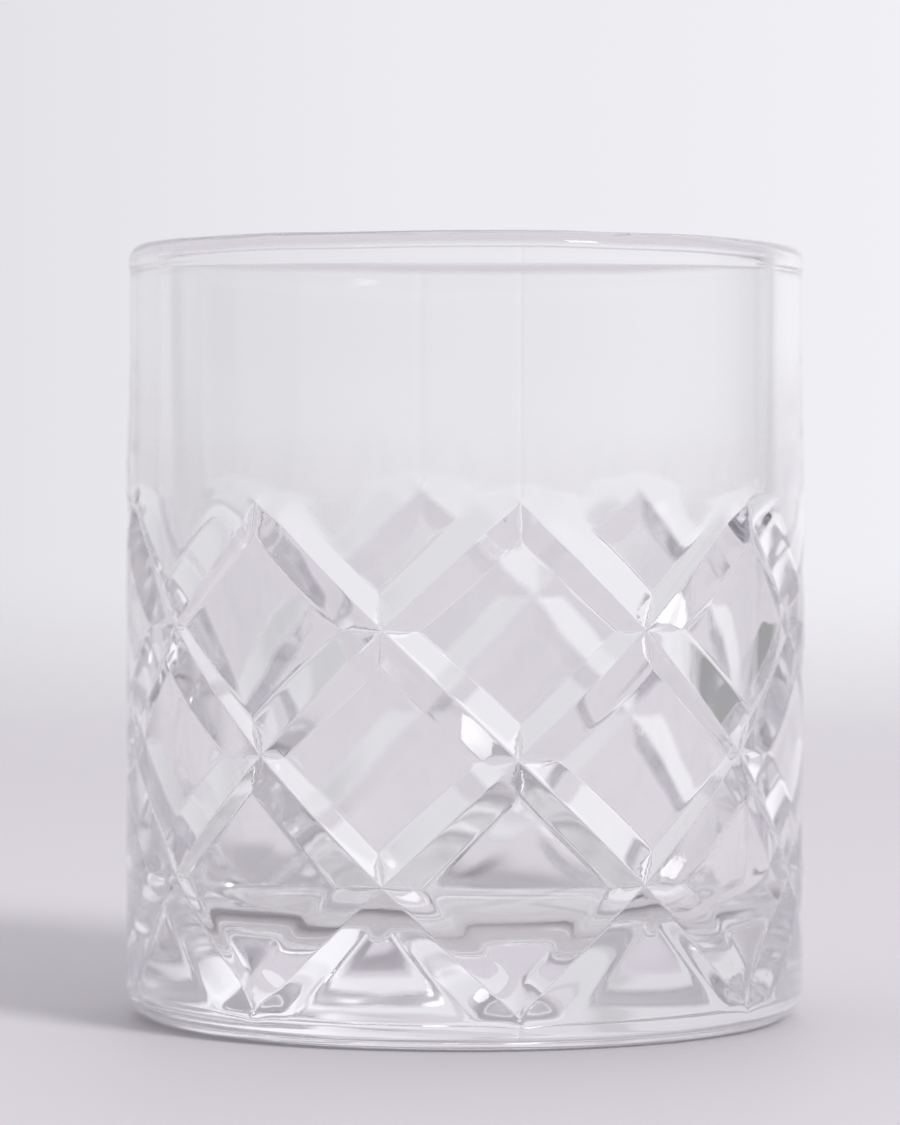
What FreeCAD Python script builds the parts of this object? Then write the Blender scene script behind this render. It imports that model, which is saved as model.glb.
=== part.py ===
"""Pressed-glass whiskey tumbler: one solid piece of clear glass, in millimetres.

The body is a turned profile: a straight outer wall, a rounded rim bead, a deep bowl, a thick base and a
shallow hollow under the foot.  A net of crossing V grooves wraps the lower two thirds of the outer wall and
leaves plain diamonds between the grooves.  +Z is up, and the origin is the centre of the foot ring on the
table.  The front (-Y) carries a column of groove crossings.
"""
import FreeCAD, Part
import math
import os

from FreeCAD import Vector

# Driving dimensions of the turned body
WALL_RADIUS = 41.0  # plain outer wall above the pattern
LAND_RADIUS = 41.4  # the patterned zone, with the plain diamonds, stands slightly proud of the plain wall
HEIGHT = 93.8
BOWL_RADIUS = 37.4  # straight upper part of the inside
BOWL_FOOT_RADIUS = 34.8  # inside, where the floor curve starts
FLOOR_HEIGHT = 11.0  # top of the thick base, at the centre
FLOOR_DISH = 0.5  # how far the floor rises from its centre to its rim
FLOOR_CORNER = 7.0  # radius between the floor and the inside wall
TAPER_TOP = 72.0  # below this height the inside starts to narrow
TAPER_FULL = 58.0  # below this height it narrows evenly, down to the floor curve

# Rim bead, rounded by the flame
BEAD_PROUD = 0.16  # the bead stands this far outside the wall
BEAD_DROP = 2.2  # depth of the widest point of the bead below the rim
BEAD_BLEND = 3.9  # depth at which the bead has faded into the wall
INNER_DROP = 0.9  # depth at which the rounding of the rim meets the inside wall
CREST_INSET = 1.6  # the highest point of the rim lies this far inside the wall's outer face

# Foot
HEEL_RADIUS = 3.6
FOOT_RING_INNER = 32.5  # the tumbler stands on the flat ring outside this radius
HOLLOW_DEPTH = 1.4  # depth of the hollow under the base, at the centre
HOLLOW_STEP = 0.5  # depth of the hollow at its edge
HOLLOW_EDGE = 31.6  # radius of the hollow's domed part

# Groove net
COLUMNS = 8  # crossings round the wall in one row
ROWS = 4  # groove rows, from the top row of crossings to the bottom one
TOP_ROW_HEIGHT = 62.7
LAND_TOP = 62.5  # the land radius is held up to this height
LAND_FADE = 20.0  # height over which it fades into the plain wall
ROW_PITCH = 14.7
GROOVE_DEPTH = 1.45  # at a crossing
GROOVE_SWELL = 0.15  # extra depth halfway between two crossings
GROOVE_SLOPE = 0.5  # depth gained per millimetre towards the middle of the groove
END_DEPTH_SHARE = 0.25  # share of the depth left where a groove runs out at the end rows
RUN_OUT = 4.6  # length over which it runs out
CUTTER_MARGIN = 0.4  # how far the cutter stands outside the lands
CURVE_POINTS = 9

# Worked out from the dimensions above
HALF_COLUMN = math.pi * LAND_RADIUS / COLUMNS  # along the wall, from a crossing to the next column
SEGMENT = math.hypot(HALF_COLUMN, ROW_PITCH)  # length of a groove between two crossings
ALONG = HALF_COLUMN / SEGMENT  # cosine of the groove's angle to the horizontal
DOWN = ROW_PITCH / SEGMENT  # sine of the same angle


def on_wall(along, height, radius):
    """The point at a distance along the wall from the front, at a height and a radius."""
    angle = along / LAND_RADIUS
    return Vector(radius * math.sin(angle), -radius * math.cos(angle), height)


def smooth_step(share):
    share = min(1.0, max(0.0, share))
    return share * share * (3.0 - 2.0 * share)


def groove_depth(row, distance):
    """Depth of a groove at a distance from its upper crossing, for the groove row below that crossing."""
    share = min(1.0, max(0.0, distance / SEGMENT))
    depth = GROOVE_DEPTH + GROOVE_SWELL * 4.0 * share * (1.0 - share)
    if row == 0:
        depth *= END_DEPTH_SHARE + (1.0 - END_DEPTH_SHARE) * smooth_step(distance / RUN_OUT)
    if row == ROWS - 1:
        left = SEGMENT - distance
        depth *= END_DEPTH_SHARE + (1.0 - END_DEPTH_SHARE) * smooth_step(left / RUN_OUT)
    return depth


def cutter_half_width(row, distance):
    """Half the cutter's width where it stands CUTTER_MARGIN outside the lands."""
    return (groove_depth(row, distance) + CUTTER_MARGIN) / GROOVE_SLOPE


def corner(row, at_start, upright, inside):
    """How far along the groove a facet's corner lies from a crossing.

    The corner lies straight above or below the crossing if upright, else level with it.  It is measured into
    the groove if inside, and otherwise out past its end.
    """
    across, along = (ALONG, DOWN) if upright else (DOWN, ALONG)
    reach = 0.0
    for _ in range(40):
        step = reach * along if inside else 0.0
        distance = step if at_start else SEGMENT - step
        reach = cutter_half_width(row, distance) / across
    return reach * along if inside else -reach * along


def curve(points):
    spline = Part.BSplineCurve()
    spline.interpolate(Points=points, Parameters=[i / (len(points) - 1.0) for i in range(len(points))])
    return spline.toShape()


def groove_curves(column, row, side):
    """The bottom line and the two outer edges of one groove between two crossings.

    column and row name the upper crossing, and side is +1 for a groove that runs down to the right.
    """
    start_along = column * HALF_COLUMN
    start_height = TOP_ROW_HEIGHT - row * ROW_PITCH

    def place(distance, across, radius):
        along = start_along + side * (distance * ALONG + across * DOWN)
        height = start_height - distance * DOWN + across * ALONG
        return on_wall(along, height, radius)

    shares = [i / (CURVE_POINTS - 1.0) for i in range(CURVE_POINTS)]
    bottom = []
    for share in shares:
        distance = share * SEGMENT
        bottom.append(place(distance, 0.0, LAND_RADIUS - groove_depth(row, distance)))

    first, last = row == 0, row == ROWS - 1
    ends = {
        1: (corner(row, True, first, not first), SEGMENT - corner(row, False, True, True)),
        -1: (corner(row, True, True, True), SEGMENT - corner(row, False, last, not last)),
    }
    edges = []
    for above in (1, -1):
        start, end = ends[above]
        points = []
        for share in shares:
            distance = start + share * (end - start)
            half = cutter_half_width(row, distance)
            points.append(place(distance, above * half, LAND_RADIUS + CUTTER_MARGIN))
        edges.append(points)
    return bottom, edges[0], edges[1]


def crossing_cover(column, row):
    """Two triangles that close the cutter over a crossing of four grooves."""
    along = column * HALF_COLUMN
    height = TOP_ROW_HEIGHT - row * ROW_PITCH
    upright = corner(row, True, True, True) / DOWN
    level = corner(row, True, False, True) / ALONG
    radius = LAND_RADIUS + CUTTER_MARGIN
    top = on_wall(along, height + upright, radius)
    foot = on_wall(along, height - upright, radius)
    left = on_wall(along - level, height, radius)
    right = on_wall(along + level, height, radius)
    return [
        Part.Face(Part.makePolygon([top, foot, left, top])),
        Part.Face(Part.makePolygon([top, right, foot, top])),
    ]


def groove_cutter():
    """The whole net of V grooves as one closed solid that stands a little outside the wall."""
    faces = []
    for row in range(ROWS):
        for column in range(row % 2, 2 * COLUMNS, 2):
            for side in (1, -1):
                bottom, upper, lower = (curve(points) for points in groove_curves(column, row, side))
                faces.append(Part.makeRuledSurface(bottom, upper))
                faces.append(Part.makeRuledSurface(bottom, lower))
                faces.append(Part.makeRuledSurface(upper, lower))
            if row > 0:
                faces += crossing_cover(column, row)
    shell = Part.Shell(faces)
    shell.sewShape(0.001)
    solid = Part.makeSolid(shell)
    if solid.Volume < 0:
        solid.reverse()
    return solid


def line(a, b):
    return Part.LineSegment(a, b).toShape()


def arc(a, middle, b):
    return Part.Arc(a, middle, b).toShape()


def spline_between(points, start_tangent, end_tangent):
    spline = Part.BSplineCurve()
    spline.interpolate(Points=points, InitialTangent=start_tangent, FinalTangent=end_tangent)
    return spline.toShape()


def profile_point(radius, height):
    return Vector(radius, 0.0, height)


def dome_middle(edge_radius, centre_height, edge_height):
    """The point halfway along the arc from a dome's centre to its edge, for a true sphere centred on the axis."""
    rise = edge_height - centre_height
    sphere = (edge_radius * edge_radius + rise * rise) / (2.0 * rise)
    angle = math.asin(edge_radius / sphere) / 2.0
    return profile_point(sphere * math.sin(angle), centre_height + sphere * (1.0 - math.cos(angle)))


def turned_body():
    """The tumbler before the grooves are cut, turned about +Z."""
    heel_centre = profile_point(LAND_RADIUS - HEEL_RADIUS, HEEL_RADIUS)
    diagonal = HEEL_RADIUS / math.sqrt(2.0)
    hollow_centre = profile_point(0.0, HOLLOW_DEPTH)
    hollow_edge = profile_point(HOLLOW_EDGE, HOLLOW_STEP)
    hollow_middle = dome_middle(HOLLOW_EDGE, HOLLOW_DEPTH, HOLLOW_STEP)
    ring_inner = profile_point(FOOT_RING_INNER, 0.0)
    ring_outer = profile_point(LAND_RADIUS - HEEL_RADIUS, 0.0)
    heel_middle = heel_centre + Vector(diagonal, 0.0, -diagonal)
    land_foot = profile_point(LAND_RADIUS, HEEL_RADIUS)
    land_top = profile_point(LAND_RADIUS, LAND_TOP)
    wall_foot = profile_point(WALL_RADIUS, LAND_TOP + LAND_FADE)

    bead_start = profile_point(WALL_RADIUS, HEIGHT - BEAD_BLEND)
    bead_widest = profile_point(WALL_RADIUS + BEAD_PROUD, HEIGHT - BEAD_DROP)
    crest = profile_point(WALL_RADIUS - CREST_INSET, HEIGHT)
    bowl_top = profile_point(BOWL_RADIUS, HEIGHT - INNER_DROP)

    floor_rim_height = FLOOR_HEIGHT + FLOOR_DISH
    blend = TAPER_TOP - TAPER_FULL
    even = TAPER_FULL - floor_rim_height - FLOOR_CORNER
    taper = (BOWL_RADIUS - BOWL_FOOT_RADIUS) / (blend / 2.0 + even)
    bowl_middle = profile_point(BOWL_RADIUS, TAPER_TOP)
    taper_start = profile_point(BOWL_RADIUS - taper * blend / 2.0, TAPER_FULL)
    corner_top = profile_point(BOWL_FOOT_RADIUS, floor_rim_height + FLOOR_CORNER)
    corner_centre = profile_point(BOWL_FOOT_RADIUS - FLOOR_CORNER, floor_rim_height + FLOOR_CORNER)
    corner_diagonal = FLOOR_CORNER / math.sqrt(2.0)
    corner_middle = corner_centre + Vector(corner_diagonal, 0.0, -corner_diagonal)
    floor_rim = profile_point(BOWL_FOOT_RADIUS - FLOOR_CORNER, floor_rim_height)
    floor_middle = dome_middle(floor_rim.x, FLOOR_HEIGHT, floor_rim_height)
    floor_centre = profile_point(0.0, FLOOR_HEIGHT)

    up, down, inward = Vector(0, 0, 1), Vector(0, 0, -1), Vector(-1, 0, 0)
    edges = [
        arc(hollow_centre, hollow_middle, hollow_edge),
        line(hollow_edge, ring_inner),
        line(ring_inner, ring_outer),
        arc(ring_outer, heel_middle, land_foot),
        line(land_foot, land_top),
        spline_between([land_top, wall_foot], up * LAND_FADE, up * LAND_FADE),
        line(wall_foot, bead_start),
        spline_between([bead_start, bead_widest], up * BEAD_BLEND, up * BEAD_BLEND),
        spline_between([bead_widest, crest], up * BEAD_DROP * 1.6, inward * BEAD_DROP * 1.6),
        spline_between([crest, bowl_top], inward * BEAD_DROP * 1.6, down * INNER_DROP * 1.6),
        line(bowl_top, bowl_middle),
        spline_between([bowl_middle, taper_start], down * blend, Vector(-taper, 0.0, -1.0) * blend),
        line(taper_start, corner_top),
        arc(corner_top, corner_middle, floor_rim),
        arc(floor_rim, floor_middle, floor_centre),
        line(floor_centre, hollow_centre),
    ]
    section = Part.Face(Part.Wire(edges))
    return section.revolve(Vector(0, 0, 0), Vector(0, 0, 1), 360.0)


def tumbler():
    glass = turned_body().cut(groove_cutter())
    return glass.Solids[0] if len(glass.Solids) == 1 else glass


def main():
    os.makedirs("parts", exist_ok=True)
    shape = tumbler()
    shape.exportStep("parts/tumbler_glass.step")
    print("solids", len(shape.Solids), "valid", shape.isValid(), "volume cm3", round(shape.Volume / 1000.0, 2))


main()
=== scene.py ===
"""Looks of the pressed-glass whiskey tumbler: one piece of clear glass on a pale table in soft light."""
import math

import bmesh
import bpy
import numpy as np
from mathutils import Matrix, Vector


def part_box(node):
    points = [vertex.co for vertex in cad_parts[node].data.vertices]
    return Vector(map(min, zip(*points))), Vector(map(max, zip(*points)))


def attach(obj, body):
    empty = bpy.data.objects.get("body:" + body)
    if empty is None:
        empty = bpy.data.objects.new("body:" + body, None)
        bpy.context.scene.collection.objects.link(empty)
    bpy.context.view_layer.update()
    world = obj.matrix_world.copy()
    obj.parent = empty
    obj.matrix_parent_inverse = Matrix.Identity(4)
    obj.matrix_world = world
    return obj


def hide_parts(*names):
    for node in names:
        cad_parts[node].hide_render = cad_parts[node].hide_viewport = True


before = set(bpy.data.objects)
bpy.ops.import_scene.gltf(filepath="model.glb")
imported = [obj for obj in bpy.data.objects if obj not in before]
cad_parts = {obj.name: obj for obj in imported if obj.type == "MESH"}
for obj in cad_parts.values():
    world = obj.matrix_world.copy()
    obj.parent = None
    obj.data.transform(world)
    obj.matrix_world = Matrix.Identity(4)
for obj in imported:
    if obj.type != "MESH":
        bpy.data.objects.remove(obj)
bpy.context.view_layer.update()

MM = 0.001

# Sizes of the tumbler, in millimetres
low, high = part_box("tumbler_glass")
HEIGHT = high.z / MM
LAND_RADIUS = high.x / MM
LAND_PROUD = 0.4
BEAD_PROUD = 0.16
WALL_THICKNESS = 3.6
BOWL_TAPER = 2.6
WALL_RADIUS = LAND_RADIUS - LAND_PROUD
BEAD_RADIUS = WALL_RADIUS + BEAD_PROUD
BOWL_RADIUS = WALL_RADIUS - WALL_THICKNESS
BOWL_FOOT_RADIUS = BOWL_RADIUS - BOWL_TAPER
FLOOR_HEIGHT = 11.0
FLOOR_DISH = 0.5
FLOOR_CORNER = 7.0
TAPER_TOP = 72.0  # below this height the bowl starts to narrow
TAPER_FULL = 58.0  # below this height it narrows evenly
BEAD_DROP = 2.2  # depth of the bead's widest point below the rim
BEAD_BLEND = 3.9  # depth at which the bead has faded into the wall
BOWL_DRAFT = 0.15  # narrowing of the upper bowl, which is all but upright
INNER_DROP = 0.9  # depth at which the rim's rounding meets the bowl
CREST_INSET = 1.6  # from the wall's outside to the highest line of the rim
HEEL_RADIUS = 3.6
FOOT_RING_INNER = 32.5
HOLLOW_DEPTH = 1.4
HOLLOW_STEP = 0.5
HOLLOW_EDGE = 31.6

# The net of grooves
COLUMNS = 8
ROWS = 4
TOP_ROW = 62.7
ROW_PITCH = 14.7
HALF_COLUMN = math.pi * LAND_RADIUS / COLUMNS
SEGMENT = math.hypot(HALF_COLUMN, ROW_PITCH)
ALONG = HALF_COLUMN / SEGMENT
DOWN = ROW_PITCH / SEGMENT
CROSS_SINE = 2.0 * ALONG * DOWN  # sine of the angle between two crossing grooves
GROOVE_DEPTH = 1.45
GROOVE_SWELL = 0.15  # extra depth halfway between two crossings
GROOVE_SLOPE = 0.5  # rise of a groove's side over its width
END_DEPTH_SHARE = 0.25
RUN_OUT = 4.6  # length over which a groove fades towards its ends
LAND_TOP = 62.5
LAND_FADE = 20.0
EDGE_SOFT = 0.035  # easing of the edges between lands and grooves, as a depth
ARCH_SOFT = 0.24  # the same around the arches at the top of the net
ARCH_FROM = 56.0
ARCH_FULL = 63.5
BASE_SOFT = 0.12  # the same at the foot of the glass, beside the thick base
BASE_FROM = 26.0
BASE_FULL = 12.0
BOTTOM_SOFT = 0.07  # rounding of the groove bottoms, across the groove
MITRE_SOFT = 0.02

# Unevenness of pressed glass
SEAM_HIGH = 0.05
SEAM_WIDE = 0.22
OUTER_WOBBLE = 0.02
INNER_WOBBLE = 0.035
RIM_WAVE = 0.25
RIM_WAVE_REACH = 6.0
WELD_DISTANCE = 4e-6  # metres
# Upright cords in the bowl: place in degrees, height, width
CORDS = [(-26.0, 0.012, 1.6), (-38.0, 0.010, 1.2), (17.0, 0.012, 2.2), (73.0, 0.014, 1.8),
         (128.0, 0.012, 1.4), (163.0, 0.010, 2.0), (-95.0, 0.012, 1.7), (-150.0, 0.014, 1.5)]


def smooth_step(share):
    share = np.clip(share, 0.0, 1.0)
    return share * share * (3.0 - 2.0 * share)


def soft_max(a, b, width):
    """The larger of two, eased where they are within four widths of each other."""
    reach = 4.0 * width
    gap = np.minimum(np.abs(a - b), reach)
    return np.maximum(a, b) + (reach - gap) ** 2 / (4.0 * reach)


def line_depth(s):
    """Depth of a groove's bottom at distance s from the groove's top end."""
    share = np.mod(s, SEGMENT) / SEGMENT
    depth = GROOVE_DEPTH + GROOVE_SWELL * 4.0 * share * (1.0 - share)
    ends = np.minimum(s, ROWS * SEGMENT - s)
    depth = depth * (END_DEPTH_SHARE + (1.0 - END_DEPTH_SHARE) * smooth_step(ends / RUN_OUT))
    return depth - GROOVE_SLOPE * np.maximum(-ends, 0.0)


def groove_depth(along, height):
    """Depth of the net of grooves below the lands."""
    u = along / HALF_COLUMN
    v = (TOP_ROW - height) / ROW_PITCH
    lines = []
    for side in (1.0, -1.0):
        position = side * u - v
        off = position - 2.0 * np.round(position / 2.0)
        across = off * HALF_COLUMN * DOWN
        s = (v * ROW_PITCH + across * ALONG) / DOWN
        eased = np.sqrt(across * across + BOTTOM_SOFT * BOTTOM_SOFT) - BOTTOM_SOFT * 0.5
        lines.append(line_depth(s) - GROOVE_SLOPE * eased)
    both = soft_max(lines[0], lines[1], MITRE_SOFT)
    arch = smooth_step((height - ARCH_FROM) / (ARCH_FULL - ARCH_FROM))
    base = smooth_step((BASE_FROM - height) / (BASE_FROM - BASE_FULL))
    soft = EDGE_SOFT + (ARCH_SOFT - EDGE_SOFT) * arch + (BASE_SOFT - EDGE_SOFT) * base
    return soft_max(both, np.zeros_like(both), soft)


def body_radius(height):
    """Outer radius without grooves: heel, lands and the plain wall above them."""
    fade = smooth_step((height - LAND_TOP) / LAND_FADE)
    below = np.clip(HEEL_RADIUS - height, 0.0, HEEL_RADIUS)
    heel = HEEL_RADIUS - np.sqrt(HEEL_RADIUS**2 - below**2)
    return LAND_RADIUS + (WALL_RADIUS - LAND_RADIUS) * fade - heel


def wobble(angle, height, seed):
    """A slow unevenness, between about -1 and 1."""
    a = np.sin(3.0 * angle + 0.031 * height + seed)
    b = np.sin(7.0 * angle - 0.017 * height + 2.3 * seed)
    c = np.sin(13.0 * angle + 0.011 * height + 1.7 * seed)
    d = np.sin(0.13 * height + 2.0 * angle + 0.7 * seed)
    return 0.3 * (a + b + c) + 0.1 * d


def outer_offset(angle, height):
    """Mould seams and unevenness of the outside."""
    half_turn = math.pi * LAND_RADIUS
    from_seam = np.abs(np.mod(angle * LAND_RADIUS + half_turn / 2.0, half_turn) - half_turn / 2.0)
    seam = SEAM_HIGH * np.exp(-((from_seam / SEAM_WIDE) ** 2))
    return seam, OUTER_WOBBLE * wobble(angle, height, 1.0)


def outer_radius(angle, height):
    depth = groove_depth(angle * LAND_RADIUS, height)
    seam, uneven = outer_offset(angle, height)
    return body_radius(height) - depth + seam * (depth < 0.3) + uneven


def inner_offset(angle, height):
    """Unevenness and upright cords of the inside."""
    cords = 0.0 * angle
    for place, tall, wide in CORDS:
        away = np.mod(angle - math.radians(place) + math.pi, 2.0 * math.pi) - math.pi
        cords = cords + tall * np.exp(-((away * BOWL_RADIUS / wide) ** 2))
    return INNER_WOBBLE * wobble(angle, height, 4.0) + cords


def rim_wave(angle, height):
    """How far the rim sinks here and there below its highest level."""
    near = smooth_step((height - (HEIGHT - RIM_WAVE_REACH)) / RIM_WAVE_REACH)
    wave = np.sin(4.0 * angle + 0.6) + 0.7 * np.sin(9.0 * angle + 2.1) + 0.4 * np.sin(15.0 * angle)
    return RIM_WAVE * (0.45 * wave - 1.0) * 0.5 * near


# The lines of the grid over one diamond, as distances across a groove from its bottom
EDGE_AT = GROOVE_DEPTH / GROOVE_SLOPE
NEAR_BOTTOM = [0.0, 0.06, 0.16, 0.45, 1.0, 1.75, 2.45]
NEAR_EDGE = [-0.24, -0.12, -0.04, 0.04, 0.14, 0.3, 0.7]
ON_LAND = [1.5, 2.9, 4.8]


def cell_shares():
    """Grid lines as shares of a diamond's side, both halves mirrored."""
    middle = SEGMENT / 2.0 * CROSS_SINE
    near = NEAR_BOTTOM + [EDGE_AT + d for d in NEAR_EDGE + ON_LAND]
    half = near + [middle]
    both = half + [2.0 * middle - k for k in reversed(near)]
    return np.array(both) / CROSS_SINE / SEGMENT


def warp(p, q):
    """Moves grid line p so that the land's edge follows the width of the groove at q."""
    share = q - np.floor(q)
    edge = EDGE_AT / CROSS_SINE / SEGMENT
    width = (GROOVE_DEPTH + GROOVE_SWELL * 4.0 * share * (1.0 - share)) / GROOVE_SLOPE
    wanted = width / CROSS_SINE / SEGMENT
    side = np.minimum(p, 1.0 - p)
    inside = side / edge * wanted
    outside = wanted + (side - edge) / (0.5 - edge) * (0.5 - wanted)
    moved = np.where(side <= edge, inside, outside)
    return np.where(p <= 0.5, moved, 1.0 - moved)


def spaced(start, end, first, growth, largest):
    """Positions from start to end, with steps growing from first."""
    total, steps, step = abs(end - start), [], first
    while sum(steps) < total:
        steps.append(step)
        step = min(step * growth, largest)
    steps = np.array(steps) * (total / sum(steps))
    return start + np.sign(end - start) * np.concatenate([[0.0], np.cumsum(steps)])


def hermite(a, b, pull_a, pull_b, count):
    """A smooth curve from a to b without its first point."""
    t = np.linspace(0.0, 1.0, count + 1)[1:, None]
    from_a = (2 * t**3 - 3 * t**2 + 1) * np.array(a) + (t**3 - 2 * t**2 + t) * np.array(pull_a)
    from_b = (3 * t**2 - 2 * t**3) * np.array(b) + (t**3 - t**2) * np.array(pull_b)
    return from_a + from_b


def quarter(centre, radius, count):
    """A quarter circle from level with its centre to right below it, without its first point."""
    angles = np.linspace(0.0, math.pi / 2.0, count + 1)[1:]
    return np.stack([centre[0] + radius * np.cos(angles), centre[1] - radius * np.sin(angles)], -1)


def dish(edge_radius, edge_height, middle_height, count):
    """A shallow dish from its edge to the axis, without its first point."""
    radius = np.linspace(edge_radius, 0.0, count + 1)[1:]
    height = middle_height + (edge_height - middle_height) * (radius / edge_radius) ** 2
    return np.stack([radius, height], -1)


class Shell:
    """Collects the vertices and quads of the glass, in millimetres."""

    def __init__(self):
        self.points, self.faces, self.count = [], [], 0

    def add(self, radius, angle, height):
        radius, angle, height = np.broadcast_arrays(radius, angle, height)
        place = np.stack([radius * np.sin(angle), -radius * np.cos(angle), height], -1)
        self.points.append(place.reshape(-1, 3))
        start, self.count = self.count, self.count + len(self.points[-1])
        return start

    def quads(self, a, b, c, d):
        self.faces.append(np.stack(np.broadcast_arrays(a, b, c, d), -1).reshape(-1, 4))

    def rings(self, start, rows, columns):
        """Quads between closed rings that run upwards outside or downwards inside."""
        i = np.arange(rows - 1)[:, None] * columns + start
        j = np.arange(columns)[None, :]
        after = (j + 1) % columns
        self.quads(i + j, i + after, i + columns + after, i + columns + j)

    def tip(self, last, columns, height):
        """Closes the innermost ring onto the axis."""
        centre = self.add(0.0, 0.0, height)
        k = np.arange(columns)
        self.quads(last + k, last + (k + 1) % columns, centre, centre)


def diamonds(shell):
    """The net of grooves: a warped grid per diamond, and half diamonds above and below the net."""
    shares = cell_shares()
    count = len(shares)
    p, q = np.meshgrid(shares, shares, indexing="ij")
    across, down = warp(p, q), warp(q, p)
    i, j = np.meshgrid(np.arange(count - 1), np.arange(count - 1), indexing="ij")
    k = np.arange(count - 1)
    for row in range(ROWS + 1):
        for column in range(1 - row % 2, 2 * COLUMNS, 2):
            angle = (column - 1.0 + across + down) * HALF_COLUMN / LAND_RADIUS
            height = TOP_ROW - (row - across + down) * ROW_PITCH
            start = shell.add(outer_radius(angle, height), angle, height)
            a, on = start + i * count + j, start + k * count + k
            if row == 0:
                keep, other = j > i, on + 1
                shell.quads(on, other, on + count + 1, on + count + 1)
            elif row == ROWS:
                keep, other = i > j, on + count
                shell.quads(on, on + count + 1, other, other)
            else:
                keep = i >= 0
            a = a[keep]
            shell.quads(a, a + 1, a + count + 1, a + count)


def column_angles():
    """Angles of the upright lines that all rings share with the diamonds."""
    shares = cell_shares()[:-1]
    diagonal = warp(shares, shares)
    u = np.concatenate([column - 1.0 + 2.0 * diagonal for column in range(1, 2 * COLUMNS, 2)])
    return u * HALF_COLUMN / LAND_RADIUS


def outer_rings(shell, angles, heights):
    grid = np.asarray(heights)[:, None]
    around = angles[None, :]
    start = shell.add(outer_radius(around, grid), around, grid + rim_wave(around, grid))
    shell.rings(start, len(heights), len(angles))


def bowl_profile():
    """From the bead's foot over the crest and down the bowl to the middle of its floor."""
    widest = (BEAD_RADIUS, HEIGHT - BEAD_DROP)
    crest = (WALL_RADIUS - CREST_INSET, HEIGHT)
    pull = BEAD_DROP * 1.6
    foot = (WALL_RADIUS, HEIGHT - BEAD_BLEND)
    floor_rim = FLOOR_HEIGHT + FLOOR_DISH
    corner = (BOWL_FOOT_RADIUS - FLOOR_CORNER, floor_rim + FLOOR_CORNER)
    straight = spaced(HEIGHT - INNER_DROP, TAPER_TOP, 0.4, 1.4, 3.0)[1:]
    blend = TAPER_TOP - TAPER_FULL
    slope = (BOWL_RADIUS - BOWL_DRAFT - BOWL_FOOT_RADIUS) / (blend / 2.0 + TAPER_FULL - corner[1])
    upright = straight[0] - straight[-1]
    straight_radius = BOWL_RADIUS - BOWL_DRAFT * (HEIGHT - INNER_DROP - straight) / upright
    taper_top = (BOWL_RADIUS - BOWL_DRAFT, TAPER_TOP)
    taper_start = np.array([BOWL_RADIUS - BOWL_DRAFT - slope * blend / 2.0, TAPER_FULL])
    taper_foot = np.array([BOWL_FOOT_RADIUS, corner[1]])
    even = np.linspace(0.0, 1.0, 8)[1:, None]
    return np.concatenate([
        [foot],
        hermite(foot, widest, (0.0, BEAD_BLEND), (0.0, BEAD_BLEND), 9),
        hermite(widest, crest, (0.0, pull), (-pull, 0.0), 11),
        hermite(crest, (BOWL_RADIUS, HEIGHT - INNER_DROP), (-pull, 0.0), (0.0, -INNER_DROP * 1.6), 10),
        np.stack([straight_radius, straight], -1),
        hermite(taper_top, taper_start, (0.0, -blend), (-slope * blend, -blend), 9),
        taper_start + (taper_foot - taper_start) * even,
        quarter(corner, FLOOR_CORNER, 14),
        dish(corner[0], floor_rim, FLOOR_HEIGHT, 12),
    ])


def underside_profile():
    """From the heel's foot along the foot ring and the hollow to the middle underneath."""
    heel_foot = LAND_RADIUS - HEEL_RADIUS
    ring = np.linspace(heel_foot, FOOT_RING_INNER, 4)
    hollow = hermite((FOOT_RING_INNER, 0.0), (HOLLOW_EDGE, HOLLOW_STEP), (-0.9, 0.0), (-0.9, 0.3), 5)
    return np.concatenate([
        np.stack([ring, 0.0 * ring], -1),
        hollow,
        dish(HOLLOW_EDGE, HOLLOW_STEP, HOLLOW_DEPTH, 12),
    ])


def inside_rings(shell, angles):
    profile = bowl_profile()
    radius, height = profile[:-1, 0][:, None], profile[:-1, 1][:, None]
    around = angles[None, :]
    outside = smooth_step((radius - WALL_RADIUS + 1.2) / 1.2)
    inside = smooth_step((WALL_RADIUS - CREST_INSET - radius) / 1.5) * smooth_step(radius / 20.0)
    seam, uneven = outer_offset(around, height)
    moved = radius + outside * (seam + uneven) + inside * inner_offset(around, height)
    start = shell.add(moved, around, height + rim_wave(around, height))
    shell.rings(start, len(profile) - 1, len(angles))
    shell.tip(start + (len(profile) - 2) * len(angles), len(angles), profile[-1, 1])


def under_rings(shell, angles):
    """Heel, foot ring and hollow, from the wall's foot inwards."""
    turned = np.linspace(0.0, math.pi / 2.0, 15)
    heights = HEEL_RADIUS * (1.0 - np.sin(turned))
    around = angles[None, :]
    heel = outer_radius(around, heights[:, None])
    settle = smooth_step(heights / HEEL_RADIUS)[:, None]
    heel = body_radius(heights)[:, None] + (heel - body_radius(heights)[:, None]) * settle
    profile = underside_profile()
    rest = profile[1:-1, 0][:, None] + 0.0 * around
    radius = np.concatenate([heel, rest])[::-1]
    height = np.concatenate([heights, profile[1:-1, 1]])[::-1][:, None]
    start = shell.add(radius, around, height)
    shell.rings(start, len(radius), len(angles))
    centre = shell.add(0.0, 0.0, profile[-1, 1])
    k = np.arange(len(angles))
    shell.quads(start + (k + 1) % len(angles), start + k, centre, centre)


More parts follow.
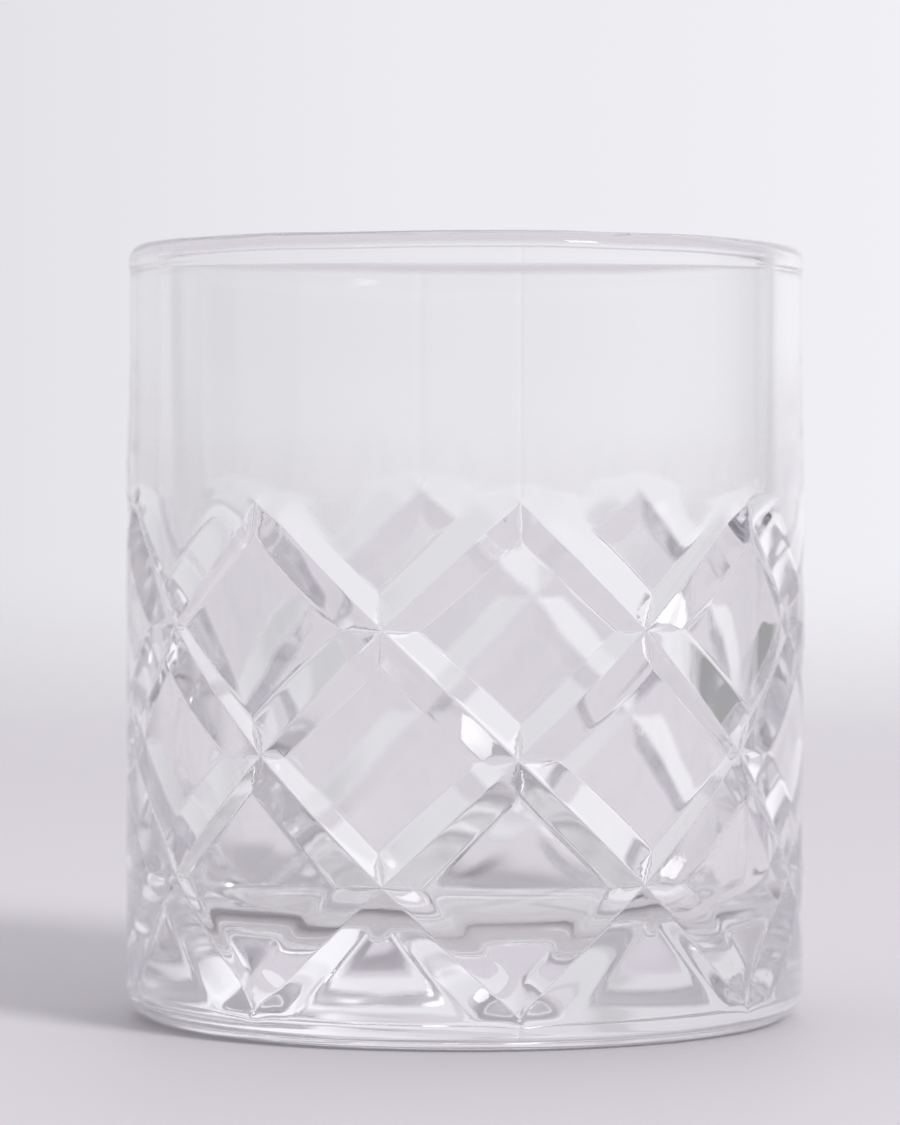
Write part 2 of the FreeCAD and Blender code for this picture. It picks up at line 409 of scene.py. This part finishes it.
def glass_mesh():
    shell = Shell()
    angles = column_angles()
    bead_foot = HEIGHT - BEAD_BLEND
    net_foot = TOP_ROW - ROWS * ROW_PITCH
    diamonds(shell)
    outer_rings(shell, angles, spaced(TOP_ROW, bead_foot, 0.12, 1.18, 1.8))
    outer_rings(shell, angles, np.linspace(HEEL_RADIUS, net_foot, 4))
    under_rings(shell, angles)
    inside_rings(shell, angles)
    points = np.concatenate(shell.points) * MM
    faces = []
    for face in np.concatenate(shell.faces).tolist():
        faces.append(face if face[2] != face[3] else face[:3])
    mesh = bpy.data.meshes.new("glass_tumbler")
    mesh.from_pydata(points.tolist(), [], faces)
    weld = bmesh.new()
    weld.from_mesh(mesh)
    bmesh.ops.remove_doubles(weld, verts=weld.verts, dist=WELD_DISTANCE)
    loose = [vertex for vertex in weld.verts if not vertex.link_faces]
    bmesh.ops.delete(weld, geom=loose, context="VERTS")
    bmesh.ops.recalc_face_normals(weld, faces=weld.faces)
    open_edges = sum(1 for edge in weld.edges if len(edge.link_faces) != 2)
    print("glass:", len(weld.faces), "faces,", open_edges, "open edges,", weld.calc_volume() * 1e6, "cm3")
    weld.to_mesh(mesh)
    weld.free()
    mesh.shade_smooth()
    return mesh


def node(tree, kind, **values):
    """Adds a node; values are inputs by name, or settings of the node itself."""
    made = tree.nodes.new("ShaderNode" + kind)
    for name, value in values.items():
        if hasattr(made, name):
            setattr(made, name, value)
        else:
            made.inputs[name.replace("_", " ")].default_value = value
    return made


def new_tree(owner):
    """An empty node tree for a material or a world."""
    owner.use_nodes = True
    owner.node_tree.nodes.clear()
    return owner.node_tree


def maths(tree, operation, *inputs):
    """A maths node over numbers and sockets; gives its output socket."""
    made = tree.nodes.new("ShaderNodeMath")
    made.operation = operation
    for index, value in enumerate(inputs):
        if isinstance(value, (int, float)):
            made.inputs[index].default_value = value
        else:
            tree.links.new(value, made.inputs[index])
    return made.outputs[0]


def ramp(tree, source, stops, low, high):
    """A colour ramp over source between low and high; stops are (position, (r, g, b))."""
    share = tree.nodes.new("ShaderNodeMapRange")
    share.inputs["From Min"].default_value = low
    share.inputs["From Max"].default_value = high
    tree.links.new(source, share.inputs["Value"])
    made = tree.nodes.new("ShaderNodeValToRGB")
    made.color_ramp.interpolation = "EASE"
    elements = made.color_ramp.elements
    while len(elements) > 1:
        elements.remove(elements[-1])
    for index, (position, colour) in enumerate(stops):
        where = (position - low) / (high - low)
        element = elements[0] if index == 0 else elements.new(where)
        element.position = where
        element.color = (*colour, 1.0)
    tree.links.new(share.outputs["Result"], made.inputs["Fac"])
    return made.outputs["Color"]


def plain(stops):
    """The stops of a ramp of plain greys."""
    return [(place, (value, value, value)) for place, value in stops]


def tinted(stops, tint):
    """The stops of a ramp of greys with a tint."""
    return [(place, tuple(value * channel for channel in tint)) for place, value in stops]


# Glass: clear, with a faint loss of light in the thick parts
GLASS_IOR = 1.52
GLASS_TINT = (0.90, 0.89, 0.92, 1.0)
GLASS_DENSITY = 6.0


def glass_material():
    material = bpy.data.materials.new("clear_glass")
    tree = new_tree(material)
    surface = node(tree, "BsdfGlass", IOR=GLASS_IOR, Roughness=0.0, Color=(1.0, 1.0, 1.0, 1.0))
    inside = node(tree, "VolumeAbsorption", Color=GLASS_TINT, Density=GLASS_DENSITY)
    out = node(tree, "OutputMaterial")
    tree.links.new(surface.outputs[0], out.inputs["Surface"])
    tree.links.new(inside.outputs[0], out.inputs["Volume"])
    return material


glass = bpy.data.objects.new("glass_tumbler", glass_mesh())
glass.data.materials.append(glass_material())
bpy.context.scene.collection.objects.link(glass)
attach(glass, "root")
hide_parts("tumbler_glass")

# Table: a pale disc that fades into the backdrop behind the glass, with painted light glowing beneath the
# glass; stops are at distances from the middle
TABLE_END = 3.0
TABLE_TONE = (0.82, 0.78, 0.825, 1.0)
TABLE_ROUGHNESS = 0.6
TABLE_DROP = 0.0001
TABLE_FADE = [(0.0, 0.0), (0.45, 0.0), (0.66, 0.15), (0.92, 0.5), (1.3, 0.75), (1.96, 0.93), (2.9, 1.0)]
PAINTED_GLOW_END = 0.05  # painted light: within this distance the table glows beneath the glass, in place of the light the glass gathers there
PAINTED_GLOW_TINT = (1.0, 0.97, 1.0)
# Painted light: emission strengths of the glowing patch beneath the glass, by distance from the middle
TABLE_PAINTED_GLOW = [(0.0, 0.3), (0.031, 0.3), (0.040, 0.0)]
bpy.ops.mesh.primitive_circle_add(
    vertices=128, radius=TABLE_END, fill_type="NGON", location=(0.0, 0.0, -TABLE_DROP)
)
table = bpy.context.object
table.name = "table"


def table_material():
    material = bpy.data.materials.new("pale_table")
    tree = new_tree(material)
    place = node(tree, "TexCoord")
    length = node(tree, "VectorMath", operation="LENGTH")
    tree.links.new(place.outputs["Object"], length.inputs[0])
    fade = ramp(tree, length.outputs["Value"], plain(TABLE_FADE), 0.0, TABLE_END)
    surface = node(tree, "BsdfPrincipled", Base_Color=TABLE_TONE, Roughness=TABLE_ROUGHNESS)
    # Painted light: the table glows beneath the glass, in place of the light that passes through the
    # glass onto it
    painted_glow = ramp(tree, length.outputs["Value"], tinted(TABLE_PAINTED_GLOW, PAINTED_GLOW_TINT), 0.0, PAINTED_GLOW_END)
    tree.links.new(painted_glow, surface.inputs["Emission Color"])
    surface.inputs["Emission Strength"].default_value = 1.0
    clear = node(tree, "BsdfTransparent")
    mix = node(tree, "MixShader")
    out = node(tree, "OutputMaterial")
    tree.links.new(fade, mix.inputs["Fac"])
    tree.links.new(surface.outputs[0], mix.inputs[1])
    tree.links.new(clear.outputs[0], mix.inputs[2])
    tree.links.new(mix.outputs[0], out.inputs["Surface"])
    return material


table.data.materials.append(table_material())

# Room: tones by direction, with azimuth 0 towards the back of the tumbler and growing to the right
ROOM_TINT = (1.0, 0.99, 1.03)
WINDOW_TINT = (1.0, 1.0, 1.02, 1.0)
AZIMUTH_TONES = [
    (-180, 0.46), (-150, 0.48), (-120, 0.52), (-90, 0.58), (-60, 0.66), (-40, 0.73), (-12, 0.76),
    (-9.5, 0.62), (-7, 0.62), (-4.5, 0.76), (3, 0.77), (5, 0.81), (9, 0.85), (15, 0.88), (40, 0.92),
    (56, 0.70), (66, 0.34), (80, 0.34), (92, 0.55), (120, 0.55), (180, 0.46),
]
HEIGHT_TONES = [(-90, 0.85), (-10, 1.0), (30, 1.0), (50, 0.88), (90, 1.0)]
WINDOW_AZIMUTH = [(-180, 0.0), (19, 0.0), (26, 1.0), (48, 1.0), (56, 0.0), (180, 0.0)]
WINDOW_HEIGHT = [(-90, 0.0), (5, 0.0), (10, 1.0), (28, 1.0), (38, 0.0), (90, 0.0)]
WINDOW_STRENGTH = 0.12


def room():
    """The world: walls toned by direction, with a slightly brighter window added."""
    world = bpy.data.worlds.new("studio")
    tree = new_tree(world)
    place = node(tree, "TexCoord")
    parts = node(tree, "SeparateXYZ")
    tree.links.new(place.outputs["Generated"], parts.inputs[0])
    x, y, z = parts.outputs
    azimuth = maths(tree, "MULTIPLY", maths(tree, "ARCTAN2", x, y), 180.0 / math.pi)
    height = maths(tree, "MULTIPLY", maths(tree, "ARCSINE", z), 180.0 / math.pi)
    tone = ramp(tree, azimuth, tinted(AZIMUTH_TONES, ROOM_TINT), -180.0, 180.0)
    level = ramp(tree, height, plain(HEIGHT_TONES), -90.0, 90.0)
    walls = node(tree, "Mix", data_type="RGBA", blend_type="MULTIPLY")
    walls.inputs["Factor"].default_value = 1.0
    tree.links.new(tone, walls.inputs["A"])
    tree.links.new(level, walls.inputs["B"])
    pane_a = ramp(tree, azimuth, plain(WINDOW_AZIMUTH), -180.0, 180.0)
    pane_h = ramp(tree, height, plain(WINDOW_HEIGHT), -90.0, 90.0)
    pane = maths(tree, "MULTIPLY", maths(tree, "MULTIPLY", pane_a, pane_h), WINDOW_STRENGTH)
    backdrop = node(tree, "Background")
    window = node(tree, "Background", Color=WINDOW_TINT)
    tree.links.new(walls.outputs["Result"], backdrop.inputs["Color"])
    tree.links.new(pane, window.inputs["Strength"])
    both = node(tree, "AddShader")
    out = node(tree, "OutputWorld")
    tree.links.new(backdrop.outputs[0], both.inputs[0])
    tree.links.new(window.outputs[0], both.inputs[1])
    tree.links.new(both.outputs[0], out.inputs["Surface"])
    return world


bpy.context.scene.world = room()

# Lamp to the right of the camera
LAMP_AZIMUTH = math.radians(145.0)
LAMP_HEIGHT = math.radians(36.0)
LAMP_DISTANCE = 3.0


def lamp(name, size, energy, distance):
    """A square lamp that shines at the tumbler and is not seen itself."""
    data = bpy.data.lights.new(name, "AREA")
    data.shape = "SQUARE"
    data.size = size
    data.energy = energy
    made = bpy.data.objects.new(name, data)
    flat = distance * math.cos(LAMP_HEIGHT)
    across, back = flat * math.sin(LAMP_AZIMUTH), flat * math.cos(LAMP_AZIMUTH)
    made.location = (across, back, distance * math.sin(LAMP_HEIGHT))
    made.rotation_euler = (math.pi / 2.0 - LAMP_HEIGHT, 0.0, math.pi - LAMP_AZIMUTH)
    made.visible_camera = False
    bpy.context.scene.collection.objects.link(made)
    return made


key = lamp("key", size=0.78, energy=44.0, distance=LAMP_DISTANCE)
key.visible_transmission = False
key.visible_glossy = False
# A smaller lamp just in front of it shows as the white streaks on the rim and in the facets
lamp("spark", size=0.46, energy=6.0, distance=0.99 * LAMP_DISTANCE)

# Camera
TURN = math.radians(8.75)
PITCH = math.radians(0.93)
ROLL = math.radians(-0.12)
DISTANCE = 13.74 * WALL_RADIUS * MM
EYE_HEIGHT = 1.569 * WALL_RADIUS * MM
LENS = 147.2
SENSOR = 36.0
SIDE_SHIFT = -0.0138
APERTURE = 20.0
FOCUS_SHARE = 0.95  # the focus lies at this share of the wall's radius
camera_data = bpy.data.cameras.new("camera")
camera = bpy.data.objects.new("camera", camera_data)
camera.location = (-DISTANCE * math.sin(TURN), -DISTANCE * math.cos(TURN), EYE_HEIGHT)
camera.rotation_euler = (math.pi / 2.0 - PITCH, ROLL, -TURN)
camera_data.lens = LENS
camera_data.sensor_width = SENSOR
camera_data.shift_x = SIDE_SHIFT
camera_data.clip_start = 0.01
camera_data.clip_end = 50.0
bpy.context.scene.collection.objects.link(camera)
bpy.context.scene.camera = camera

# Focus: on the wall nearest to the camera, wherever the camera stands
centre = bpy.data.objects.new("centre", None)
centre.location = (0.0, 0.0, HEIGHT * MM / 2.0)
focus = bpy.data.objects.new("focus", None)
for empty in (centre, focus):
    bpy.context.scene.collection.objects.link(empty)
follow = focus.constraints.new("COPY_LOCATION")
follow.target = camera
limit = focus.constraints.new("LIMIT_DISTANCE")
limit.target = centre
limit.distance = FOCUS_SHARE * WALL_RADIUS * MM
limit.limit_mode = "LIMITDIST_INSIDE"
camera_data.dof.use_dof = True
camera_data.dof.focus_object = focus
camera_data.dof.aperture_fstop = APERTURE

# Light passes through many glass surfaces before it leaves, so paths are long
scene = bpy.context.scene
scene.view_settings.view_transform = "Standard"
scene.cycles.max_bounces = 48
scene.cycles.transmission_bounces = 40
scene.cycles.glossy_bounces = 40
scene.cycles.transparent_max_bounces = 8
